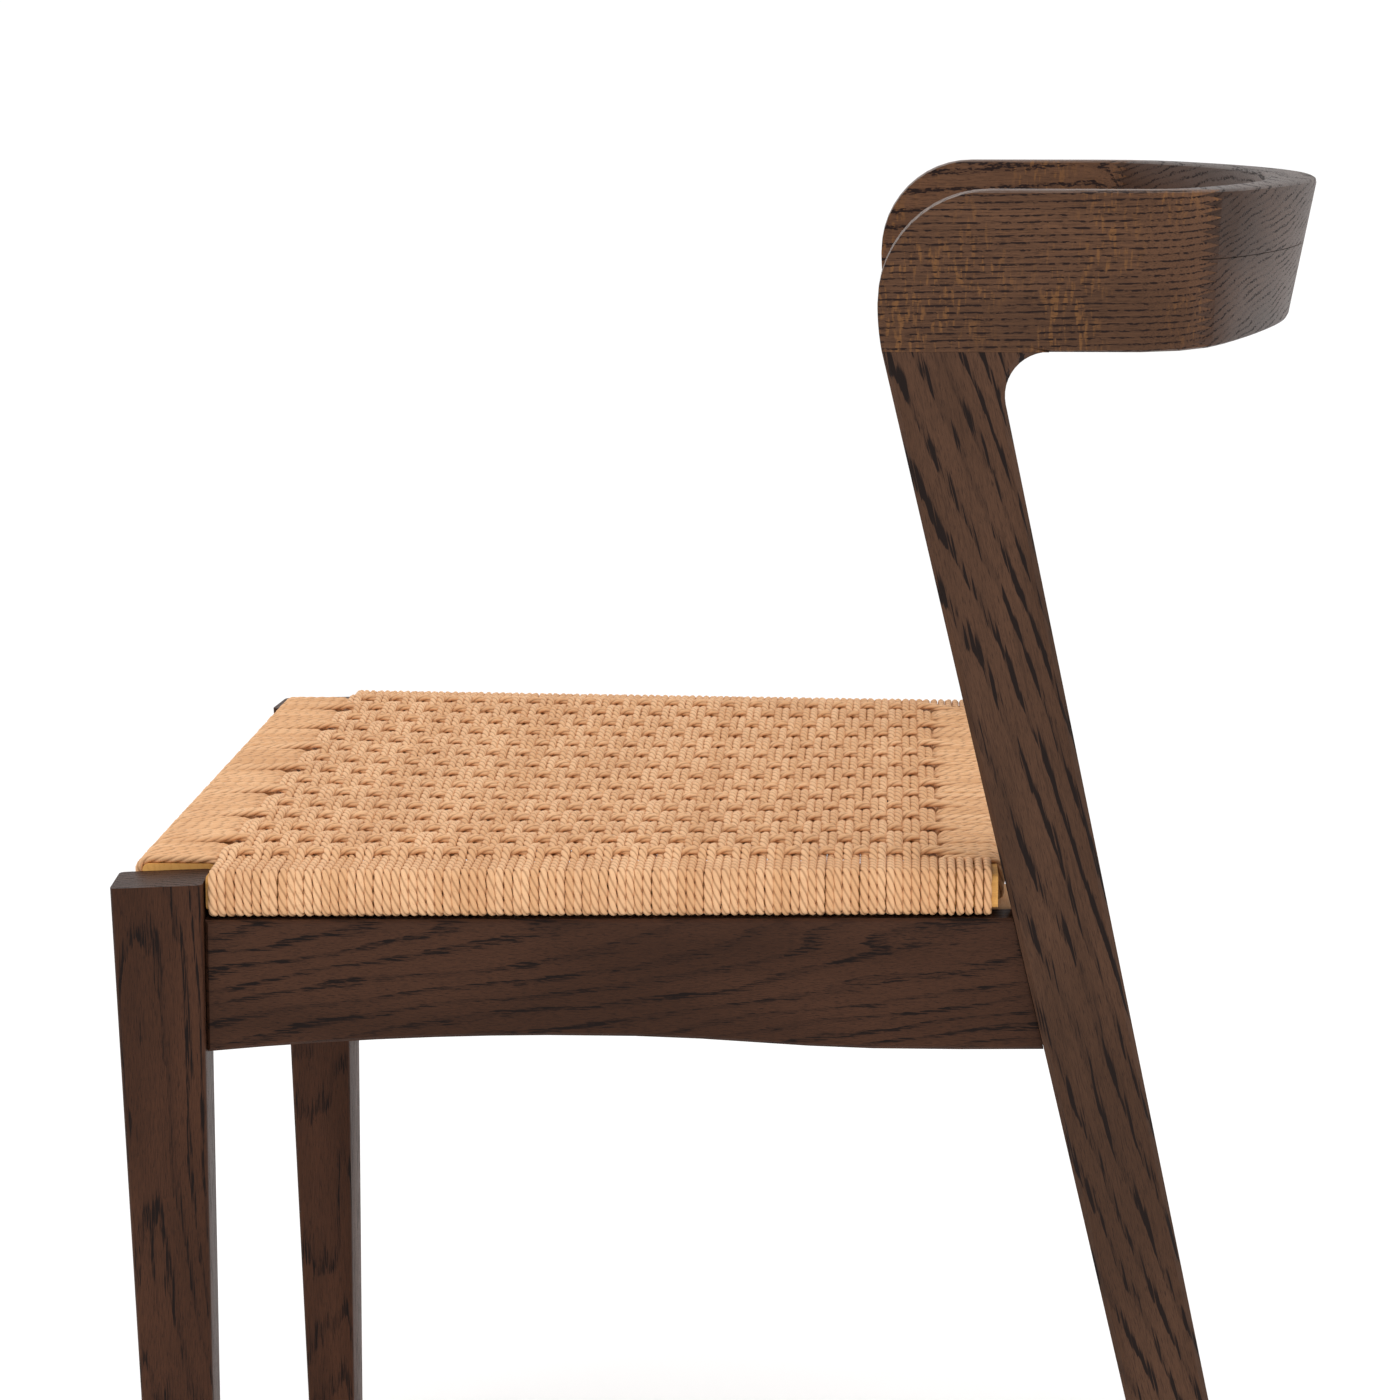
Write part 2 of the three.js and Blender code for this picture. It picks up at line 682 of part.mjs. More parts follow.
function sideRailShape() {
  const section = railSection(new THREE.Shape(), -railInner, -railOuter);
  const bar = inSideFrame(barAlongY(section, 0, seatRearEnd + railInner));
  const rail = cut(join(bar, heelShape()), beforeY(sideRailY), behindY(seatRearEnd));
  return cut(join(rail, sideTenon()), rearTenon(seat.tenon.clearance), screwBore(frontSeatScrew));
}

// The cross rails are drawn in (y, z) and reach from side to side.
function frontRailShape() {
  const section = railSection(new THREE.Shape(), frontRailY, frontRailRearY);
  const rail = sideBoard(section, -halfFront, halfFront, 0, railCurve);
  const mortise = sideTenon(seat.tenon.clearance);
  const legSide = inSideFrame(box(-frontLeg.thick - gap, far, -far, far, 0, 2 * far));
  return cut(rail, legSide, mirrored(legSide), mortise, mirrored(mortise));
}

function rearRailShape() {
  const section = railSection(new THREE.Shape(), rearRailY, seatRearEnd);
  const rail = sideBoard(section, -halfFront, halfFront, 0, railCurve);
  const sideZone = inSideFrame(box(-railInner - gap, far, -far, 2 * far, 0, 2 * far));
  const screw = screwBore(rearSeatScrew);
  const trimmed = cut(rail, sideZone, mirrored(sideZone), screw, mirrored(screw));
  return join(trimmed, rearTenon(), mirrored(rearTenon()));
}

// ---- Cord: wrapped round the side rails, and woven between them ----
// The sleeve is open on its inner side where the heel and the rear rail meet the side rail.
function cordWrapShape() {
  const section = railSection(new THREE.Shape(), -railInner, -railOuter, cord);
  section.holes.push(railSection(new THREE.Path(), -railInner, -railOuter, gap));
  const wrap = inSideFrame(barAlongY(section, 0, seatRearEnd + railInner));
  const ends = [beforeY(sideRailY + seat.bareFront), behindY(seatRearEnd - seat.bareRear)];
  const rearRailZone = inSideFrame(
    box(
      -railInner - 2 * cord,
      -railInner + gap,
      rearRailY - cord - gap,
      far + seatRearEnd,
      railBottom - gap,
      railTop + gap,
    ),
  );
  return cut(wrap, ...ends, heelShape(gap), rearRailZone);
}

// The panel with a loop round the front rail and another round the rear rail.
function wovenPanelShape() {
  const loop = (y0, y1) => {
    const outline = railSection(new THREE.Shape(), y0, y1, cord);
    outline.holes.push(railSection(new THREE.Path(), y0, y1, gap));
    return sideBoard(outline, -halfFront, halfFront, 0, railCurve);
  };
  const frontLoop = loop(frontRailY, frontRailRearY);
  const rearLoop = loop(rearRailY, seatRearEnd);
  const sheet = box(
    -halfFront,
    halfFront,
    frontRailRearY + cord / 2,
    rearRailY - cord / 2,
    seatTop - seat.panelThick,
    seatTop,
  );
  const zones = [
    inSideFrame(box(-railInner - cord - gap, far, -far, 2 * far, 0, 2 * far)),
    frontLegZone(),
    heelShape(gap),
    screwBore(rearSeatScrew),
  ];
  return cut(join(frontLoop, rearLoop, sheet), ...bothSides(zones));
}

// ---- The pieces that cross the chair ----
const chair = new THREE.Group();

function add(parent, name, geometry, material, at, along) {
  const mesh = new THREE.Mesh(geometry, material);
  mesh.name = name;
  if (at) mesh.position.copy(at);
  if (along) mesh.quaternion.copy(turnTo(along));
  parent.add(mesh);
}

const fullBand = common(bandShape(), sideBoard(bandOutline(), -far, far));
const armZone = fingerZone(-gap / 2);
const pastArms = fingerZone(gap / 2);
const back = cut(fullBand, pastArms, mirrored(pastArms));
const glueZ = band.top - band.glueLine;
const aboveGlue = box(-far, far, 0, 2 * far, glueZ - gap / 2, 2 * far);
const belowGlue = box(-far, far, 0, 2 * far, 0, glueZ + gap / 2);
add(chair, "back_rail_upper", cut(back, belowGlue), stainedOak(0x5a463c));
add(chair, "back_rail_lower", cut(back, aboveGlue), stainedOak(0x55423a));

const frontBoard = crossBoard(halfFront, apron.frontSetBack, frontApronRearY);
const frontCuts = [
  frontLegZone(),
  ...bores(frontCrossDowels, dowel),
  ...wells(blockScrews(frontCorner, 1)).slice(1),
];
add(chair, "front_apron", cut(frontBoard, ...bothSides(frontCuts)), stainedOak());

const rearBoard = crossBoard(halfFront, rearApronY, rearApronY + apron.thick);
const rearCuts = [
  rearLegZone(),
  ...bores(rearCrossDowels, dowel),
  ...wells(blockScrews(rearCorner, -1)).slice(1),
];
add(chair, "rear_apron", cut(rearBoard, ...bothSides(rearCuts)), stainedOak());

add(chair, "seat_rail_front", frontRailShape(), paleWood());
add(chair, "seat_rail_rear", rearRailShape(), paleWood());
add(chair, "woven_panel", wovenPanelShape(), paperCord());

// ---- The pieces of each side; the right side is the left one mirrored ----
function addSide(name, handed) {
  const side = new THREE.Group();
  side.scale.x = handed;
  chair.add(side);
  const piece = (base, ...rest) => add(side, base + "_" + name, ...rest);

  const frontLegCuts = [
    ...bores(frontSideDowels, dowel),
    ...bores(frontCrossDowels, dowel),
    glideBore(frontFoot),
  ];
  piece("front_leg", cut(frontLegShape(), ...frontLegCuts), stainedOak(0x432b1f));

  const rearLegCuts = [
    ...bores(rearSideDowels, dowel),
    ...bores(rearCrossDowels, dowel),
    ...bores(armDowels, armDowel),
    glideBore(rearFoot),
  ];
  piece("rear_leg", cut(rearLegShape(), ...rearLegCuts), stainedOak(0x443229));

  const armBlock = join(common(fullBand, armZone), armSeatShape());
  piece("arm_block", cut(armBlock, ...bores(armDowels, armDowel)), stainedOak(0x5a4133));

  const frontScrews = blockScrews(frontCorner, 1);
  const rearScrews = blockScrews(rearCorner, -1);
  const apronCuts = [
    ...bores(frontSideDowels, dowel),
    ...bores(rearSideDowels, dowel),
    ...wells([frontScrews[0], rearScrews[0]]),
  ];
  piece("side_apron", cut(sideApronShape(), ...apronCuts), stainedOak(0x422c22));

  const frontZones = [
    frontLegZone(),
    insideSideApron(),
    box(-far, far, -far, frontApronRearY + gap, 0, 2 * far),
    ...wells(frontScrews),
    screwBore(frontSeatScrew),
  ];
  piece("corner_block_front", cornerBlockShape(frontCorner, 1, frontZones), beech());
  const rearZones = [
    rearLegZone(),
    insideSideApron(),
    box(-far, far, rearApronY - gap, 2 * far, 0, 2 * far),
    ...wells(rearScrews),
    screwBore(rearSeatScrew),
  ];
  piece("corner_block_rear", cornerBlockShape(rearCorner, -1, rearZones), beech());

  piece("seat_rail", sideRailShape(), paleWood());
  piece("cord_wrap", cordWrapShape(), paperCord());

  const dowelSets = {
    dowel_front_side: [frontSideDowels, dowel],
    dowel_front_cross: [frontCrossDowels, dowel],
    dowel_rear_side: [rearSideDowels, dowel],
    dowel_rear_cross: [rearCrossDowels, dowel],
    dowel_arm: [armDowels, armDowel],
  };
  for (const [base, [specs, size]] of Object.entries(dowelSets)) {
    specs.forEach((spec, i) =>
      piece(base + "_" + (i + 1), rod(size.diameter, size.length), beech(), spec.at, spec.along),
    );
  }

  const screwSets = {
    block_screw_front: frontScrews,
    block_screw_rear: rearScrews,
    seat_screw: [frontSeatScrew, rearSeatScrew],
  };
  for (const [base, specs] of Object.entries(screwSets)) {
    specs.forEach((spec, i) =>
      piece(base + "_" + (i + 1), screwShape(spec.length), zincSteel(), spec.at, spec.along),
    );
  }

  piece("glide_front", glideShape(), nylon(), frontFoot);
  piece("glide_rear", glideShape(), nylon(), rearFoot);
}
addSide("left", 1);
addSide("right", -1);

// The origin is under the middle of the chair's depth.
const extent = new THREE.Box3().setFromObject(chair, true);
chair.position.y = -(extent.min.y + extent.max.y) / 2;

export default chair;
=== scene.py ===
"""Looks of the wooden armchair: stained oak frame and a seat woven in three-ply paper cord."""

import math

import bmesh
import bpy
import numpy as np
from mathutils import Matrix, Vector


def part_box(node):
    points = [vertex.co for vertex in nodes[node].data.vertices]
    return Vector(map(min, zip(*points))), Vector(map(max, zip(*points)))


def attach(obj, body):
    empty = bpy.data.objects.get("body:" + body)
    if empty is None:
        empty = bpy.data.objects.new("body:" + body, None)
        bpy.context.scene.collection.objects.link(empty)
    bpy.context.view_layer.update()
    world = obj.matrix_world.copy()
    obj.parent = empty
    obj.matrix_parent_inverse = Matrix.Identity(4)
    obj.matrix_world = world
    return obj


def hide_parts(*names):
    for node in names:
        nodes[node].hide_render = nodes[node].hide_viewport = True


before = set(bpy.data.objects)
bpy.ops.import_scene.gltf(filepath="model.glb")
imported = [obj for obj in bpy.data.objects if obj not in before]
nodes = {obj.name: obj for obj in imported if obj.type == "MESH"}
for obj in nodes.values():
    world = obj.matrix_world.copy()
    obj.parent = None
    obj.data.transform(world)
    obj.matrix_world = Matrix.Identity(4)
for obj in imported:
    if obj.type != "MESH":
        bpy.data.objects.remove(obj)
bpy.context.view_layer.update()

MM = 0.001
rng = np.random.default_rng(11)

# ---------------------------------------------------------------- camera

YAW = math.radians(2.69)
PITCH = math.radians(9.05)
CAMERA_AT = (2.05984, 0.07256, 0.82556)
SENSOR = 36  # mm
LENS = 106.87  # mm
FURTHEST = 50


def make_camera():
    forward = Vector(
        (
            -math.cos(YAW) * math.cos(PITCH),
            -math.sin(YAW) * math.cos(PITCH),
            -math.sin(PITCH),
        )
    )
    right = Vector((-math.sin(YAW), math.cos(YAW), 0))
    up = right.cross(forward)
    data = bpy.data.cameras.new("camera")
    data.sensor_fit = "HORIZONTAL"
    data.sensor_width = SENSOR
    data.lens = LENS
    data.clip_end = FURTHEST
    camera = bpy.data.objects.new("camera", data)
    turn = Matrix((right, up, -forward)).transposed()
    camera.matrix_world = Matrix.Translation(CAMERA_AT) @ turn.to_4x4()
    bpy.context.scene.collection.objects.link(camera)
    bpy.context.scene.camera = camera


make_camera()


# ---------------------------------------------------------------- node helpers


def linear(red, green, blue):
    """A colour given in 0-255 sRGB, as linear RGBA."""

    def channel(value):
        value = value / 255
        if value <= 0.04045:
            return value / 12.92
        return ((value + 0.055) / 1.055) ** 2.4

    return (channel(red), channel(green), channel(blue), 1)


class Tree:
    """Short calls for building one material's nodes."""

    def __init__(self, name):
        self.material = bpy.data.materials.new(name)
        self.material.use_nodes = True
        self.nodes = self.material.node_tree.nodes
        self.links = self.material.node_tree.links
        self.shader = self.nodes["Principled BSDF"]

    def put(self, socket, value):
        if isinstance(value, bpy.types.NodeSocket):
            self.links.new(value, socket)
        else:
            socket.default_value = value

    def place(self):
        return self.nodes.new("ShaderNodeTexCoord").outputs["Object"]

    def math(self, operation, first, second=0.0, clamp=False):
        node = self.nodes.new("ShaderNodeMath")
        node.operation = operation
        node.use_clamp = clamp
        self.put(node.inputs[0], first)
        self.put(node.inputs[1], second)
        return node.outputs[0]

    def plus(self, first, second):
        return self.math("ADD", first, second)

    def times(self, first, second):
        return self.math("MULTIPLY", first, second)

    def scaled(self, vector, scale, move=(0, 0, 0)):
        node = self.nodes.new("ShaderNodeMapping")
        self.put(node.inputs["Vector"], vector)
        node.inputs["Scale"].default_value = scale
        node.inputs["Location"].default_value = move
        return node.outputs[0]

    def turned(self, vector, rotation):
        node = self.nodes.new("ShaderNodeMapping")
        self.put(node.inputs["Vector"], vector)
        node.inputs["Rotation"].default_value = [math.radians(angle) for angle in rotation]
        return node.outputs[0]

    def noise(self, vector, detail=2.0, roughness=0.5):
        node = self.nodes.new("ShaderNodeTexNoise")
        self.put(node.inputs["Vector"], vector)
        node.inputs["Scale"].default_value = 1
        node.inputs["Detail"].default_value = detail
        node.inputs["Roughness"].default_value = roughness
        return node.outputs[0]

    def ranged(self, value, low, high, to_low=0.0, to_high=1.0):
        node = self.nodes.new("ShaderNodeMapRange")
        node.interpolation_type = "SMOOTHSTEP"
        self.put(node.inputs[0], value)
        node.inputs[1].default_value = low
        node.inputs[2].default_value = high
        node.inputs[3].default_value = to_low
        node.inputs[4].default_value = to_high
        return node.outputs[0]

    def mix(self, factor, first, second):
        node = self.nodes.new("ShaderNodeMix")
        node.data_type = "RGBA"
        self.put(node.inputs[0], factor)
        self.put(node.inputs[6], first)
        self.put(node.inputs[7], second)
        return node.outputs[2]

    def bump(self, height, distance, strength=1.0):
        node = self.nodes.new("ShaderNodeBump")
        node.inputs["Strength"].default_value = strength
        node.inputs["Distance"].default_value = distance
        self.put(node.inputs["Height"], height)
        return node.outputs[0]

    def attribute(self, name, output):
        node = self.nodes.new("ShaderNodeAttribute")
        node.attribute_name = name
        return node.outputs[output]


# ---------------------------------------------------------------- wood

PER_MM = 1000
OAK_SPECULAR = 0.07  # the stain is nearly matt
RAY_COLOUR = linear(128, 88, 52)


def oak(
    name,
    rotation,
    light,
    dark,
    pith,
    ring,
    seed,
    cone,
    wander=26.0,
    pore=(1.7, 0.05),
    packed=0.17,
    band=0.5,
    even=0.0,
    flecks=0.0,
    streak=1.0,
    gloss=0.36,
):
    """Oak with its rings, open pores and rays.

    rotation turns the piece's grain to local Z. pith is where the rings centre and ring their
    width, in mm; cone is how fast they widen along the trunk, and wander how far they stray. pore
    gives the open pores' scale across and along the grain, packed how many more the early wood
    holds, band where in a ring early wood ends, and even how evenly it is filled. flecks is the
    rays' strength, streak that of all the dark marks, and gloss the lowest roughness.
    """
    tree = Tree(name)
    millimetres = tree.scaled(tree.place(), (PER_MM, PER_MM, PER_MM))
    grain = tree.turned(millimetres, rotation)

    # The rings: distance from the pith, made to stray by three sizes of noise.
    sway = tree.noise(tree.scaled(grain, (0.018, 0.018, 0.0045), (seed, 0, seed)))
    ripple = tree.noise(tree.scaled(grain, (0.12, 0.12, 0.012), (0, seed, seed)), 3)
    jag = tree.noise(tree.scaled(grain, (0.9, 0.9, 0.035), (seed, seed, 0)), 3)
    split = tree.nodes.new("ShaderNodeSeparateXYZ")
    tree.put(split.inputs[0], grain)
    across = tree.math("SUBTRACT", split.outputs[0], pith[0])
    depth = tree.math("SUBTRACT", split.outputs[1], pith[1])
    square = tree.plus(tree.times(across, across), tree.times(depth, depth))
    distance = tree.math("SQRT", square)
    distance = tree.plus(distance, tree.times(split.outputs[2], cone))
    distance = tree.plus(distance, tree.times(sway, wander))
    distance = tree.plus(distance, tree.times(ripple, 0.2 * wander))
    distance = tree.plus(distance, tree.times(jag, 0.07 * wander))
    rings = tree.math("FRACT", tree.math("DIVIDE", distance, ring))
    early = tree.times(tree.ranged(rings, 0.0, 0.08), tree.ranged(rings, 0.14, band, 1, 0))

    # Open pores: long and thin along the grain, packed into each ring's early wood.
    wide, long = pore
    gate = tree.noise(tree.scaled(grain, (0.10, 0.10, 0.010), (seed, seed, 7)))
    gate = tree.ranged(gate, 0.38 - even, 0.60 - even)
    coarse = tree.noise(tree.scaled(grain, (wide, wide, long), (seed, 0, 0)), 2, 0.55)
    packing = tree.times(early, tree.times(gate, packed))
    pore_mask = tree.ranged(tree.plus(coarse, packing), 0.585, 0.665)
    small = tree.noise(tree.scaled(grain, (3.4, 3.4, 0.20), (0, 0, seed)), 1)
    small_mask = tree.ranged(tree.plus(small, tree.times(early, 0.05)), 0.60, 0.70)
    dark_share = tree.times(pore_mask, tree.ranged(early, 0.0, 0.6, 0.25, 1.0))
    dark_share = tree.math("MAXIMUM", dark_share, tree.times(small_mask, 0.6))
    dark_share = tree.math("MULTIPLY", dark_share, streak, clamp=True)

    # The wood between the pores: broad patches, early wood and fine fibres.
    fibre = tree.noise(tree.scaled(grain, (6.5, 6.5, 0.10), (0, seed, 0)), 2, 0.6)
    patch = tree.noise(tree.scaled(grain, (0.03, 0.03, 0.006), (seed, 3, 0)))
    deeper = tuple(channel * 0.70 for channel in light[:3]) + (1,)
    colour = tree.mix(tree.ranged(patch, 0.35, 0.65), light, deeper)
    colour = tree.mix(tree.times(early, 0.22), colour, dark)
    colour = tree.mix(tree.ranged(fibre, 0.38, 0.7, 0.0, 0.45), colour, dark)
    if flecks:
        ray = tree.noise(tree.scaled(grain, (0.10, 0.13, 0.62), (seed, 1, 2)))
        area = tree.noise(tree.scaled(grain, (0.020, 0.020, 0.020), (seed, 4, 2)), 1)
        shine = tree.times(tree.ranged(ray, 0.50, 0.66), tree.ranged(area, 0.40, 0.60))
        colour = tree.mix(tree.times(shine, flecks), colour, RAY_COLOUR)
    colour = tree.mix(dark_share, colour, dark)
    tree.put(tree.shader.inputs["Base Color"], colour)

    rough = tree.plus(tree.times(dark_share, 0.22), gloss)
    rough = tree.plus(rough, tree.times(fibre, 0.10))
    tree.put(tree.shader.inputs["Roughness"], rough)
    height = tree.math("SUBTRACT", tree.times(fibre, 0.25), dark_share)
    tree.put(tree.shader.inputs["Normal"], tree.bump(height, 0.00012, 0.6))
    tree.shader.inputs["Specular IOR Level"].default_value = OAK_SPECULAR
    return tree.material


ALONG_X = (0, -90, 0)
ALONG_Y = (90, 0, 0)
ALONG_Z = (0, 0, 0)
ALONG_REAR_LEG = (-12.8, 0, 0)

OAK_DARK = linear(28, 20, 18)
APRON_LIGHT = linear(74, 48, 35)
PALE_LIGHT = linear(236, 180, 104)
PALE_DARK = linear(196, 138, 76)

front_leg_oak = oak(
    "front_leg_oak",
    ALONG_Z,
    linear(77, 49, 35),
    OAK_DARK,
    pith=(300, -262),
    ring=4.6,
    seed=2.1,
    cone=0.09,
    packed=0.15,
)
rear_leg_oak = oak(
    "rear_leg_oak",
    ALONG_REAR_LEG,
    linear(88, 62, 47),
    linear(32, 24, 22),
    pith=(320, 40),
    ring=9.0,
    seed=7.3,
    cone=0.16,
    pore=(0.75, 0.030),
    packed=0.23,
)
arm_oak = oak(
    "arm_oak",
    ALONG_Y,
    linear(103, 73, 54),
    linear(36, 25, 23),
    pith=(250, -900),
    ring=2.95,
    seed=4.4,
    cone=0.02,
    wander=5.0,
    pore=(1.0, 0.30),
    packed=0.15,
    band=0.46,
    even=0.8,
    flecks=0.55,
    gloss=0.33,
)
back_oak = oak(
    "back_oak",
    ALONG_X,
    linear(80, 59, 48),
    linear(32, 23, 21),
    pith=(-500, 330),
    ring=3.2,
    seed=9.2,
    cone=0.04,
    wander=18.0,
    pore=(1.6, 0.09),
    packed=0.18,
    gloss=0.33,
)
apron_side_oak = oak(
    "apron_side_oak",
    ALONG_Y,
    APRON_LIGHT,
    OAK_DARK,
    pith=(330, -470),
    ring=5.6,
    seed=5.6,
    cone=0.07,
    packed=0.16,
)
apron_cross_oak = oak(
    "apron_cross_oak",
    ALONG_X,
    APRON_LIGHT,
    OAK_DARK,
    pith=(-470, -330),
    ring=5.6,
    seed=6.7,
    cone=0.07,
    packed=0.16,
)
pale_wood = oak(
    "pale_wood",
    ALONG_Y,
    PALE_LIGHT,
    PALE_DARK,
    pith=(60, -600),
    ring=3.0,
    seed=1.3,
    cone=0.02,
    streak=0.4,
    gloss=0.5,
)
pale_wood_cross = oak(
    "pale_wood_cross",
    ALONG_X,
    PALE_LIGHT,
    PALE_DARK,
    pith=(-600, 60),
    ring=3.0,
    seed=2.3,
    cone=0.02,
    streak=0.4,
    gloss=0.5,
)
beech = oak(
    "beech",
    ALONG_X,
    linear(202, 160, 116),
    linear(158, 112, 74),
    pith=(-500, 90),
    ring=2.4,
    seed=3.3,
    cone=0.02,
    streak=0.35,
    gloss=0.55,
)

# ---------------------------------------------------------------- metal and nylon

ZINC = (0.55, 0.56, 0.58, 1)
ZINC_TARNISHED = (0.34, 0.34, 0.33, 1)
NYLON = (0.022, 0.02, 0.018, 1)
NYLON_SCUFFED = (0.07, 0.066, 0.06, 1)


def steel():
    """Zinc-plated screws: fine turned lines and a little tarnish."""
    tree = Tree("screw_steel")
    place = tree.place()
    lines = tree.noise(tree.scaled(place, (900, 900, 5200)))
    tarnish = tree.noise(tree.scaled(place, (160, 160, 160)), 3)
    colour = tree.mix(tree.ranged(tarnish, 0.4, 0.7), ZINC, ZINC_TARNISHED)
    tree.put(tree.shader.inputs["Base Color"], colour)
    tree.shader.inputs["Metallic"].default_value = 1
    tree.put(tree.shader.inputs["Roughness"], tree.ranged(lines, 0.3, 0.7, 0.26, 0.42))
    tree.put(tree.shader.inputs["Normal"], tree.bump(lines, 0.00003, 0.4))
    return tree.material


def nylon():
    """Moulded nylon glides: a fine spark-eroded grain, scuffed."""
    tree = Tree("glide_nylon")
    place = tree.place()
    grain = tree.noise(tree.scaled(place, (2600, 2600, 2600)))
    scuff = tree.noise(tree.scaled(place, (320, 320, 900)), 3)
    colour = tree.mix(tree.ranged(scuff, 0.5, 0.75), NYLON, NYLON_SCUFFED)
    tree.put(tree.shader.inputs["Base Color"], colour)
    tree.put(tree.shader.inputs["Roughness"], tree.ranged(scuff, 0.4, 0.7, 0.42, 0.62))
    tree.put(tree.shader.inputs["Normal"], tree.bump(grain, 0.00003, 0.5))
    return tree.material


screw_steel = steel()
glide_nylon = nylon()

# ---------------------------------------------------------------- carried-over nodes

MATERIALS = (
    ("front_leg", front_leg_oak),
    ("rear_leg", rear_leg_oak),
    ("arm_block", arm_oak),
    ("back_rail", back_oak),
    ("side_apron", apron_side_oak),
    ("front_apron", apron_cross_oak),
    ("rear_apron", apron_cross_oak),
    ("corner_block", beech),
    ("dowel", beech),
    ("block_screw", screw_steel),
    ("seat_screw", screw_steel),
    ("seat_rail_front", pale_wood_cross),
    ("seat_rail_rear", pale_wood_cross),
    ("seat_rail_left", pale_wood),
    ("seat_rail_right", pale_wood),
    ("glide", glide_nylon),
)
WELD = 0.02 * MM
SHARP = math.radians(32)


def finish_cad_nodes():
    """Carried-over nodes get their material and shade smooth across shallow edges only."""
    for name, node in nodes.items():
        for prefix, material in MATERIALS:
            if name.startswith(prefix):
                node.data.materials.clear()
                node.data.materials.append(material)
                break
        if "custom_normal" in node.data.attributes:
            node.data.attributes.remove(node.data.attributes["custom_normal"])
        node.data.shade_smooth()
        weld = node.modifiers.new("weld", "WELD")
        weld.merge_threshold = WELD
        split = node.modifiers.new("split", "EDGE_SPLIT")
        split.split_angle = SHARP
        split.use_edge_sharp = False


finish_cad_nodes()

TOP_DEPTH = 0.05 * MM  # faces that reach lower than this aren't the leg's top
GLUE_SHARE = 0.997  # the film stops just inside the leg's faces


def glue_line(side):
    """The thin film of glue between a rear leg's top and its arm block."""
    leg = nodes["rear_leg_" + side]
    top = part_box("rear_leg_" + side)[1].z
    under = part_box("arm_block_" + side)[0].z
    mesh = bpy.data.meshes.new("glue_line_" + side)
    work = bmesh.new()
    work.from_mesh(leg.data)
    bmesh.ops.remove_doubles(work, verts=work.verts, dist=WELD)
    away = []
    for face in work.faces:
        if min(vertex.co.z for vertex in face.verts) < top - TOP_DEPTH:
            away.append(face)
    bmesh.ops.delete(work, geom=away, context="FACES")
    bmesh.ops.dissolve_limit(work, angle_limit=0.02, verts=work.verts, edges=work.edges)
    centre = sum((vertex.co for vertex in work.verts), Vector()) / len(work.verts)
    for vertex in work.verts:
        vertex.co.x = centre.x + (vertex.co.x - centre.x) * GLUE_SHARE
        vertex.co.y = centre.y + (vertex.co.y - centre.y) * GLUE_SHARE
        vertex.co.z = top
    grown = bmesh.ops.extrude_face_region(work, geom=work.faces[:])["geom"]
    for item in grown:
        if isinstance(item, bmesh.types.BMVert):
            item.co.z = under
    bmesh.ops.recalc_face_normals(work, faces=work.faces)
    work.to_mesh(mesh)
    work.free()
    mesh.materials.append(rear_leg_oak)
    film = bpy.data.objects.new("glue_line_" + side, mesh)
    bpy.context.scene.collection.objects.link(film)
    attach(film, "root")


glue_line("left")
glue_line("right")


# ---------------------------------------------------------------- the seat's cord

CORD = 3.8  # diameter, mm
LAY = 18.0  # length of one turn of the three plies
STEP = 2.0  # between a strand's rings
RAIL_EDGE = 2.5  # the rails' eased edges
OFF = CORD / 2
TURN = RAIL_EDGE + OFF
ANGLES = np.radians([0, 32, 60, 88, 120, 152, 180, 208, 240, 272, 300, 328])
RADII = np.array([2.0, 1.80, 1.38, 1.80] * 3)
# How much painted shade each vertex round a strand gets: full in the valleys between the plies.
PLY_SHADE_SHARES = np.array([0.0, 0.35, 1.0, 0.35] * 3)

# The strands are laid out in millimetres, from a y origin near the front legs.
BACK_Y = 549.5  # the chair's rearmost point there
shift_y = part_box("back_rail_upper")[1].y / MM - BACK_Y

front_low, front_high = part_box("seat_rail_front")
rear_low, rear_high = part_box("seat_rail_rear")
RAIL_BOTTOM = front_low.z / MM
RAIL_TOP = front_high.z / MM
FRONT_RAIL = (front_low.y / MM - shift_y, front_high.y / MM - shift_y)
REAR_RAIL = (rear_low.y / MM - shift_y, rear_high.y / MM - shift_y)
FLAT = RAIL_TOP + OFF
UNDER = RAIL_BOTTOM - OFF

HALF_FRONT = 270
SIDE_TAN = math.tan(math.radians(3.347))
RAIL_OUTER = 7.8
RAIL_INNER = 36.8


def outer_x(y):
    return HALF_FRONT - RAIL_OUTER - y * SIDE_TAN


def inner_x(y):
    return HALF_FRONT - RAIL_INNER - y * SIDE_TAN


FIRST_WEFT = 45.1
WEFT_PITCH = 3.857
WEFT_PAIRS = 42
WARP_PAIRS = 15
LAST_WEFT = FIRST_WEFT + WEFT_PITCH * (2 * WEFT_PAIRS - 1)
FRONT_HALF = 223.0
REAR_HALF = 205.0
FRONT_WRAPS = 6
LAST_FRONT_WRAP = 227.9
REAR_WRAPS = 5
SIDE_WRAPS = 6
FIRST_SIDE_WRAP = LAST_WEFT + 4.1
LAST_SIDE_WRAP = 389.4
WEFT_RISE = 1.7
WARP_RISE = 1.6
MIDDLE = FLAT + WEFT_RISE
SAG = 3.2
SAG_HALF_WIDTH = 215.0
SAG_HALF_DEPTH = 163.0
SAG_Y = 205.0
SIDE_RUN = 15.0  # over which a weft strand comes down onto the side rail
FRONT_RUN = 30.0  # over which a raised warp pair comes down onto the rail
REAR_RUN = 24.0
EDGE_DROP = 0.9  # the first and last weft strands lie lower, close against the rails
WOVEN_SPREAD = 1.13  # how far strands in the weave are pressed flat
WEFT_POINTS = 340
WARP_POINTS = 420
STRAY = 0.12  # how far a strand strays from its place
ROCK = 0.10  # and how far it rises and falls
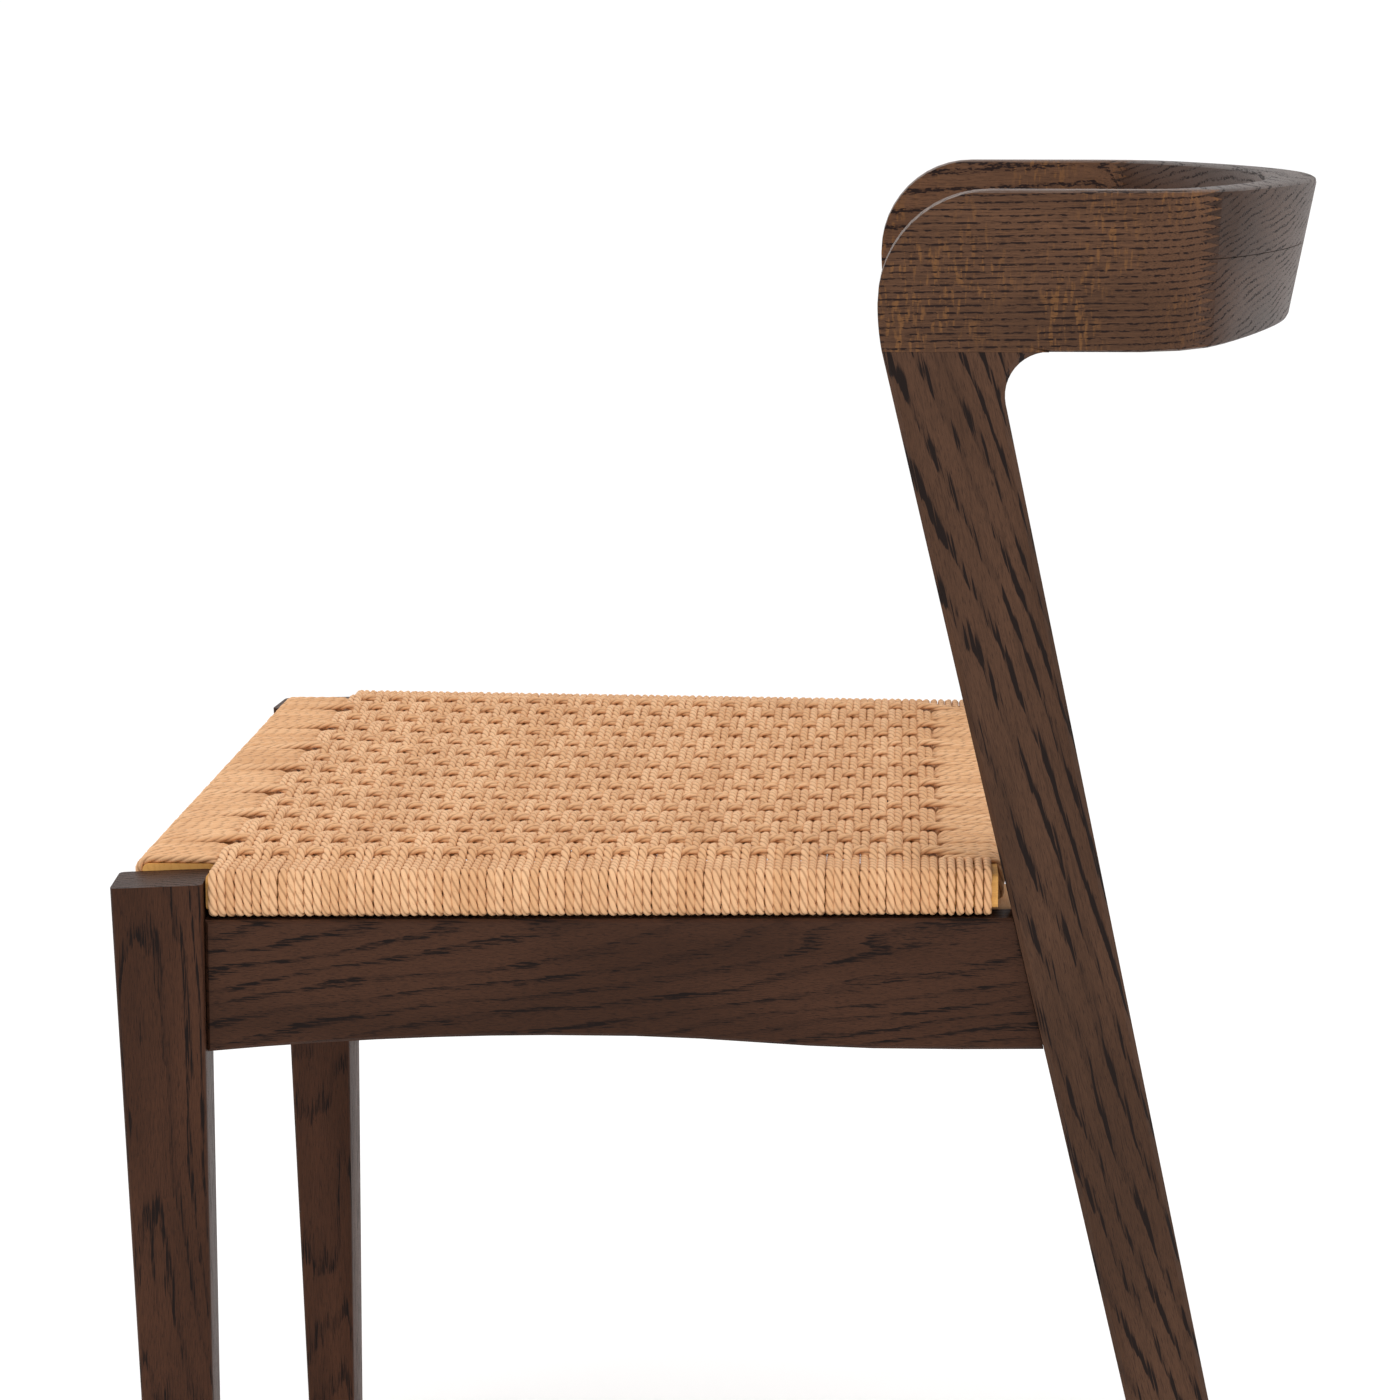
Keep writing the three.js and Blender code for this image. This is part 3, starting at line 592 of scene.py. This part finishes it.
FULL_TURN = 2 * math.pi


def middle(x, y):
    """Height of the weave's middle surface, which sags between the rails."""
    across = np.clip(1 - (x / SAG_HALF_WIDTH) ** 2, 0, 1)
    along = np.clip(1 - np.abs((y - SAG_Y) / SAG_HALF_DEPTH) ** 3, 0, 1)
    return MIDDLE - SAG * across * along


def pair_places(half, wraps):
    """x of each warp pair, with the slack of each two spaces put beside the raised pair."""
    double = 2 * half / (WARP_PAIRS - 1) * 2
    slack = double - CORD * (4 + 2 * wraps)
    plain = CORD * (2 + wraps) + 0.1 * slack
    places = [-half]
    for i in range(1, WARP_PAIRS):
        places.append(places[-1] + (plain if i % 2 == 1 else double - plain))
    return np.array(places)


front_places = pair_places(FRONT_HALF, FRONT_WRAPS)
rear_places = pair_places(REAR_HALF, REAR_WRAPS)
LAST_REAR_WRAP = rear_places[-1] + OFF + CORD
FRONT_AT = 30.0
REAR_AT = 380.0


def warp_x(y):
    share = (np.asarray(y)[..., None] - FRONT_AT) / (REAR_AT - FRONT_AT)
    return front_places * (1 - share) + rear_places * share


def arc(centre, radius, start, end, count=7):
    angles = np.radians(np.linspace(start, end, count))
    return np.stack(
        (centre[0] + radius * np.cos(angles), centre[1] + radius * np.sin(angles)), axis=1
    )


def resample(path):
    """The path at even steps, with each ring's distance along it."""
    lengths = np.linalg.norm(np.diff(path, axis=0), axis=1)
    keep = np.concatenate(([True], lengths > 1e-6))
    path = path[keep]
    lengths = np.linalg.norm(np.diff(path, axis=0), axis=1)
    along = np.concatenate(([0], np.cumsum(lengths)))
    count = max(8, int(along[-1] / STEP))
    places = np.linspace(0, along[-1], count)
    points = np.stack([np.interp(places, along, path[:, axis]) for axis in range(3)], axis=1)
    smooth = points.copy()
    smooth[1:-1] = (points[:-2] + 2 * points[1:-1] + points[2:]) / 4
    return smooth, places


class Cords:
    """A group of three-ply strands gathered into one mesh."""

    LAY_SPREAD = 0.08
    WOBBLE = 0.035  # how unevenly a strand is twisted, in radians a ring
    SWELL = 0.025
    SWELL_LENGTH = 7.0
    FIBRE_SHIFT = 37.0  # so that no two strands show the same creases
    # painted shade on a strand's two end caps, half that of the valleys
    END_CAP_SHADE = 0.5

    def __init__(self, name):
        self.name = name
        self.vertices = []
        self.faces = []
        self.tone = []
        self.painted_ply_shade = []
        self.fibre = []
        self.count = 0

    def add(self, path, normal, spread=1.0):
        """One strand along the path. normal is the way in which it is spread."""
        points, places = resample(np.asarray(path, float))
        tangent = np.gradient(points, axis=0)
        tangent /= np.linalg.norm(tangent, axis=1)[:, None]
        normal = np.asarray(normal, float)
        side = normal - tangent * (tangent @ normal)[:, None]
        side /= np.linalg.norm(side, axis=1)[:, None]
        other = np.cross(tangent, side)
        lay = LAY * rng.uniform(1 - self.LAY_SPREAD, 1 + self.LAY_SPREAD)
        phase = rng.uniform(0, FULL_TURN)
        wobble = np.cumsum(rng.normal(0, self.WOBBLE, len(points)))
        turn = phase - FULL_TURN * places / lay + wobble
        angle = turn[:, None] + ANGLES[None, :]
        swell = 1 + self.SWELL * np.sin(places / self.SWELL_LENGTH + phase)[:, None]
        radius = RADII[None, :] * swell
        ring = (
            points[:, None, :]
            + (radius * spread * np.cos(angle))[..., None] * side[:, None, :]
            + (radius / spread * np.sin(angle))[..., None] * other[:, None, :]
        )
        rings, around = len(points), len(ANGLES)
        skin = rings * around
        index = self.count + np.arange(skin).reshape(rings, around)
        following = np.roll(index, -1, axis=1)
        quads = np.stack((index[:-1], following[:-1], following[1:], index[1:]), axis=-1)
        self.vertices.append(ring.reshape(-1, 3))
        self.faces.append(quads.reshape(-1, 4))

        # The two ends are fans of triangles, written as quads whose last corner is doubled.
        self.vertices.append(np.array([points[0], points[-1]]))
        first = np.full(around, self.count + skin)
        last = first + 1
        self.faces.append(np.stack((following[0], index[0], first, first), axis=-1))
        self.faces.append(np.stack((index[-1], following[-1], last, last), axis=-1))

        total = skin + 2
        self.count += total
        self.tone.append(np.full(total, rng.uniform()))
        # Each vertex carries how much painted shade it gets.
        self.painted_ply_shade.append(np.concatenate((np.tile(PLY_SHADE_SHARES, rings), [self.END_CAP_SHADE] * 2)))
        fibre = np.zeros((total, 3))
        fibre[:skin, 0] = np.repeat(places, around) + self.FIBRE_SHIFT * rng.uniform(0, 50)
        fibre[:skin, 1] = np.tile(RADII * np.cos(ANGLES), rings)
        fibre[:skin, 2] = np.tile(RADII * np.sin(ANGLES), rings)
        self.fibre.append(fibre)

    def build(self, material, stands_for):
        vertices = np.concatenate(self.vertices)
        vertices[:, 1] += shift_y
        vertices *= MM
        faces = np.concatenate(self.faces)
        triangle = faces[:, 2] == faces[:, 3]
        polygons = faces[~triangle].tolist() + faces[triangle][:, :3].tolist()
        mesh = bpy.data.meshes.new(self.name)
        mesh.from_pydata(vertices.tolist(), [], polygons)
        for name, kind, key, values in (
            ("tone", "FLOAT", "value", np.concatenate(self.tone)),
            ("painted_ply_shade", "FLOAT", "value", np.concatenate(self.painted_ply_shade)),
            ("fibre", "FLOAT_VECTOR", "vector", np.concatenate(self.fibre).reshape(-1)),
        ):
            attribute = mesh.attributes.new(name, kind, "POINT")
            attribute.data.foreach_set(key, values.astype(np.float32))
        mesh.shade_smooth()
        mesh.materials.append(material)
        piece = bpy.data.objects.new(self.name, mesh)
        bpy.context.scene.collection.objects.link(piece)
        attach(piece, "root")
        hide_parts(*stands_for)


CORD_SPECULAR = 0.3


def paper_cord():
    """Natural paper cord: matt, warm, with painted shade between the plies and fine paper
    creases.
    """
    tree = Tree("paper_cord")
    tone = tree.attribute("tone", "Fac")
    painted_ply_shade = tree.attribute("painted_ply_shade", "Fac")
    fibre = tree.attribute("fibre", "Vector")
    crease = tree.noise(tree.scaled(fibre, (0.16, 2.4, 2.4)), 3, 0.6)
    blotch = tree.noise(tree.scaled(tree.place(), (34, 34, 34)))
    fleck = tree.noise(tree.scaled(fibre, (0.5, 1.1, 1.1), (5, 0, 0)))
    colour = tree.mix(tree.ranged(tone, 0, 1), linear(232, 186, 142), linear(218, 168, 122))
    colour = tree.mix(tree.ranged(blotch, 0.35, 0.7, 0, 0.5), colour, linear(208, 158, 114))
    colour = tree.mix(tree.ranged(fleck, 0.56, 0.72, 0, 0.35), colour, linear(188, 136, 92))
    # Painted shade: the valleys between the plies and the end caps are mixed towards a deep
    # brown.
    colour = tree.mix(tree.ranged(painted_ply_shade, 0.3, 1.0, 0, 0.6), colour, linear(142, 94, 58))
    tree.put(tree.shader.inputs["Base Color"], colour)
    tree.put(tree.shader.inputs["Roughness"], tree.ranged(crease, 0.3, 0.7, 0.62, 0.82))
    tree.put(tree.shader.inputs["Normal"], tree.bump(crease, 0.00022, 0.55))
    tree.shader.inputs["Specular IOR Level"].default_value = CORD_SPECULAR
    return tree.material


def side_rail_turn(y):
    """Round the left side rail's face, from below to the top, as x and z."""
    out = outer_x(y) - RAIL_EDGE
    return np.concatenate(
        (
            arc((out, RAIL_BOTTOM + RAIL_EDGE), TURN, -90, 0),
            arc((out, RAIL_TOP - RAIL_EDGE), TURN, 0, 90),
        )
    )


def rail_front_turn(rail):
    """Round a cross rail's front face, from below to the top, as y and z."""
    front = rail[0] + RAIL_EDGE
    return np.concatenate(
        (
            arc((front, RAIL_BOTTOM + RAIL_EDGE), TURN, 270, 180),
            arc((front, RAIL_TOP - RAIL_EDGE), TURN, 180, 90),
        )
    )


def rail_rear_turn(rail):
    """Round a cross rail's rear face, from the top to below, as y and z."""
    rear = rail[1] - RAIL_EDGE
    return np.concatenate(
        (
            arc((rear, RAIL_TOP - RAIL_EDGE), TURN, 90, 0),
            arc((rear, RAIL_BOTTOM + RAIL_EDGE), TURN, 0, -90),
        )
    )


def weft_path(y, pair):
    """A strand from under one side rail, round it, through the weave and round the other rail."""
    jitter = rng.normal(0, STRAY, 4)  # the last one is spare
    half = np.concatenate(([[inner_x(y) + 4, UNDER]], side_rail_turn(y)))
    places = warp_x(y)
    edge = places[-1]
    on_rail = np.linspace(outer_x(y) - RAIL_EDGE - 1, edge + SIDE_RUN, 8)
    woven = np.linspace(1 - edge - SIDE_RUN, edge + SIDE_RUN - 1, WEFT_POINTS)
    x = np.concatenate((-on_rail, woven, on_rail[::-1]))
    sign = np.where((np.arange(WARP_PAIRS) + pair) % 2 == 0, 1.0, -1.0)
    spot = np.clip(np.searchsorted(places, x) - 1, 0, WARP_PAIRS - 2)
    share = (x - places[spot]) / (places[spot + 1] - places[spot])
    wave = sign[spot] * np.cos(math.pi * np.clip(share, 0, 1))
    from_edge = min(y - FIRST_WEFT, LAST_WEFT - y)
    z = middle(x, y) + WEFT_RISE * wave - EDGE_DROP * math.exp(-from_edge / CORD)
    beyond = np.clip((np.abs(x) - edge) / SIDE_RUN, 0, 1)
    z = FLAT + (z - FLAT) * (0.5 + 0.5 * np.cos(math.pi * beyond))
    z += ROCK * np.sin(x / 23.0 + jitter[0] * 20)
    left = np.stack((-half[:, 0], half[:, 1]), axis=1)
    flat = np.concatenate((left, np.stack((x, z), axis=1), half[::-1]))
    depth = y + jitter[1] + 0.16 * np.sin(flat[:, 0] / 31.0 + jitter[2] * 25)
    return np.stack((flat[:, 0], depth, flat[:, 1]), axis=1)


def warp_path(pair, offset):
    """A strand from under the front rail, over it, through the weave and round the rear rail."""
    rows = FIRST_WEFT + WEFT_PITCH * (0.5 + 2 * np.arange(WEFT_PAIRS))
    sign = np.where((pair + np.arange(WEFT_PAIRS)) % 2 == 0, -1.0, 1.0)
    front = np.concatenate(([[FRONT_RAIL[1] - 6, UNDER]], rail_front_turn(FRONT_RAIL)))
    back = np.concatenate((rail_rear_turn(REAR_RAIL), [[REAR_RAIL[0] + 6, UNDER]]))
    y = np.linspace(FRONT_RAIL[0] + RAIL_EDGE + 1, REAR_RAIL[1] - RAIL_EDGE - 1, WARP_POINTS)
    x = warp_x(y)[:, pair] + offset
    spot = np.clip(np.searchsorted(rows, y) - 1, 0, WEFT_PAIRS - 2)
    share = np.clip((y - rows[spot]) / (2 * WEFT_PITCH), 0, 1)
    z = middle(x, y) + WARP_RISE * sign[spot] * np.cos(math.pi * share)
    beyond = np.clip(np.maximum((rows[0] - y) / FRONT_RUN, (y - rows[-1]) / REAR_RUN), 0, 1)
    z = FLAT + (z - FLAT) * (1 - beyond) ** 1.2
    flat = np.concatenate((front, np.stack((y, z), axis=1), back))
    across = np.concatenate((np.full(len(front), x[0]), x, np.full(len(back), x[-1])))
    across = across + 0.15 * np.sin(flat[:, 0] / 27.0 + rng.uniform(0, 6)) + rng.normal(0, 0.1)
    return np.stack((across, flat[:, 0], flat[:, 1]), axis=1)


def rail_loop(x, rail):
    """One plain turn of cord round the front or rear rail."""
    end = [[(rail[0] + rail[1]) / 2, UNDER]]
    flat = np.concatenate((end, rail_front_turn(rail), rail_rear_turn(rail), end))
    lift = rng.normal(0, ROCK)
    across = np.full(len(flat), x + rng.normal(0, STRAY))
    return np.stack((across, flat[:, 0], flat[:, 1] + lift), axis=1)


def side_wrap(y, sign):
    """A plain turn on a side rail behind the weave: over the top, down the face and under."""
    inside = inner_x(y)
    over = [[inside + 4, FLAT], [inside + 1.5, FLAT - 1.2]]
    half = np.concatenate(([[inside + 3, UNDER]], side_rail_turn(y), over))
    depth = np.full(len(half), y) + rng.normal(0, STRAY)
    return np.stack((sign * half[:, 0], depth, half[:, 1]), axis=1)


def wrap_places(places, wraps):
    """x of the single turns between the warp pairs, close to the next pair on the +x side."""
    found = []
    for i in range(WARP_PAIRS - 1):
        left = places[i] + OFF
        right = places[i + 1] - OFF
        room = right - left - CORD * (wraps + 1)
        opening = room * (0.92 if i % 2 == 1 else 0.5)
        rest = (room - opening) / (wraps + 1)
        for k in range(wraps):
            found.append(left + opening + (CORD + rest) * (k + 1))
    return found


# each keeps its triangles well under the limit for one piece
WEFT_GROUPS = 5  # the weft strands are shared among this many pieces, to keep each piece's triangle count down
ACROSS = (1, 0, 0)
DEPTHWISE = (0, 1, 0)


def weave():
    cord = paper_cord()
    panel = ("woven_panel",)
    weft_y = FIRST_WEFT + WEFT_PITCH * np.arange(2 * WEFT_PAIRS)
    for group, strands in enumerate(np.array_split(np.arange(2 * WEFT_PAIRS), WEFT_GROUPS)):
        cords = Cords(f"cord_weft_{group + 1}")
        for strand in strands:
            cords.add(weft_path(weft_y[strand], strand // 2), DEPTHWISE, WOVEN_SPREAD)
        cords.build(cord, panel + ("cord_wrap_left", "cord_wrap_right"))
    cords = Cords("cord_warp")
    for pair in range(WARP_PAIRS):
        for offset in (-OFF, OFF):
            cords.add(warp_path(pair, offset), ACROSS, WOVEN_SPREAD)
    cords.build(cord, panel)
    cords = Cords("cord_front_wraps")
    for x in [-LAST_FRONT_WRAP, LAST_FRONT_WRAP] + wrap_places(front_places, FRONT_WRAPS):
        cords.add(rail_loop(x, FRONT_RAIL), ACROSS)
    cords.build(cord, panel)
    cords = Cords("cord_rear_wraps")
    for x in wrap_places(rear_places, REAR_WRAPS) + [-LAST_REAR_WRAP, LAST_REAR_WRAP]:
        cords.add(rail_loop(x, REAR_RAIL), ACROSS)
    cords.build(cord, panel)
    for sign, side in ((1, "left"), (-1, "right")):
        cords = Cords(f"cord_side_wraps_{side}")
        for y in np.linspace(FIRST_SIDE_WRAP, LAST_SIDE_WRAP, SIDE_WRAPS):
            cords.add(side_wrap(y, sign), DEPTHWISE)
        cords.build(cord, (f"cord_wrap_{side}",))


weave()


# ---------------------------------------------------------------- floor and light

WHITE = (1, 1, 1, 1)
FLOOR_SIZE = 30  # half its width
FLOOR_GLOW = 0.06
WORLD_STRENGTH = 1.04
AREA_LIGHTS = (  # name, place, target, width and height, power
    ("overhead", (0.3, 0.0, 2.6), (0, 0, 0.5), (1.8, 1.8), 5),
    ("front_side", (1.6, -2.0, 1.9), (0, 0, 0.5), (1.4, 1.4), 8),
    ("rear_side", (1.2, 2.2, 1.5), (0, 0.1, 0.6), (1.2, 1.6), 8),
)


def floor():
    tree = Tree("floor_white")
    speck = tree.noise(tree.scaled(tree.place(), (3, 3, 3)))
    colour = tree.mix(speck, (0.93, 0.93, 0.93, 1), (0.96, 0.96, 0.96, 1))
    tree.put(tree.shader.inputs["Base Color"], colour)
    tree.shader.inputs["Roughness"].default_value = 0.9
    tree.shader.inputs["Specular IOR Level"].default_value = 0.1
    tree.shader.inputs["Emission Color"].default_value = WHITE
    tree.shader.inputs["Emission Strength"].default_value = FLOOR_GLOW
    mesh = bpy.data.meshes.new("floor")
    corners = [(-1, -1), (1, -1), (1, 1), (-1, 1)]
    vertices = [(FLOOR_SIZE * x, FLOOR_SIZE * y, 0) for x, y in corners]
    mesh.from_pydata(vertices, [], [(0, 1, 2, 3)])
    mesh.materials.append(tree.material)
    piece = bpy.data.objects.new("floor", mesh)
    bpy.context.scene.collection.objects.link(piece)


def area_light(name, place, target, size, power):
    data = bpy.data.lights.new(name, "AREA")
    data.shape = "RECTANGLE"
    data.size, data.size_y = size
    data.energy = power
    light = bpy.data.objects.new(name, data)
    light.location = place
    aim = Vector(target) - Vector(place)
    light.rotation_euler = aim.to_track_quat("-Z", "Y").to_euler()
    bpy.context.scene.collection.objects.link(light)


def lights():
    world = bpy.data.worlds.new("studio")
    bpy.context.scene.world = world
    world.use_nodes = True
    background = world.node_tree.nodes["Background"]
    background.inputs["Color"].default_value = WHITE
    background.inputs["Strength"].default_value = WORLD_STRENGTH
    for light in AREA_LIGHTS:
        area_light(*light)


floor()
lights()
scene = bpy.context.scene
scene.view_settings.view_transform = "Standard"
scene.view_settings.look = "None"
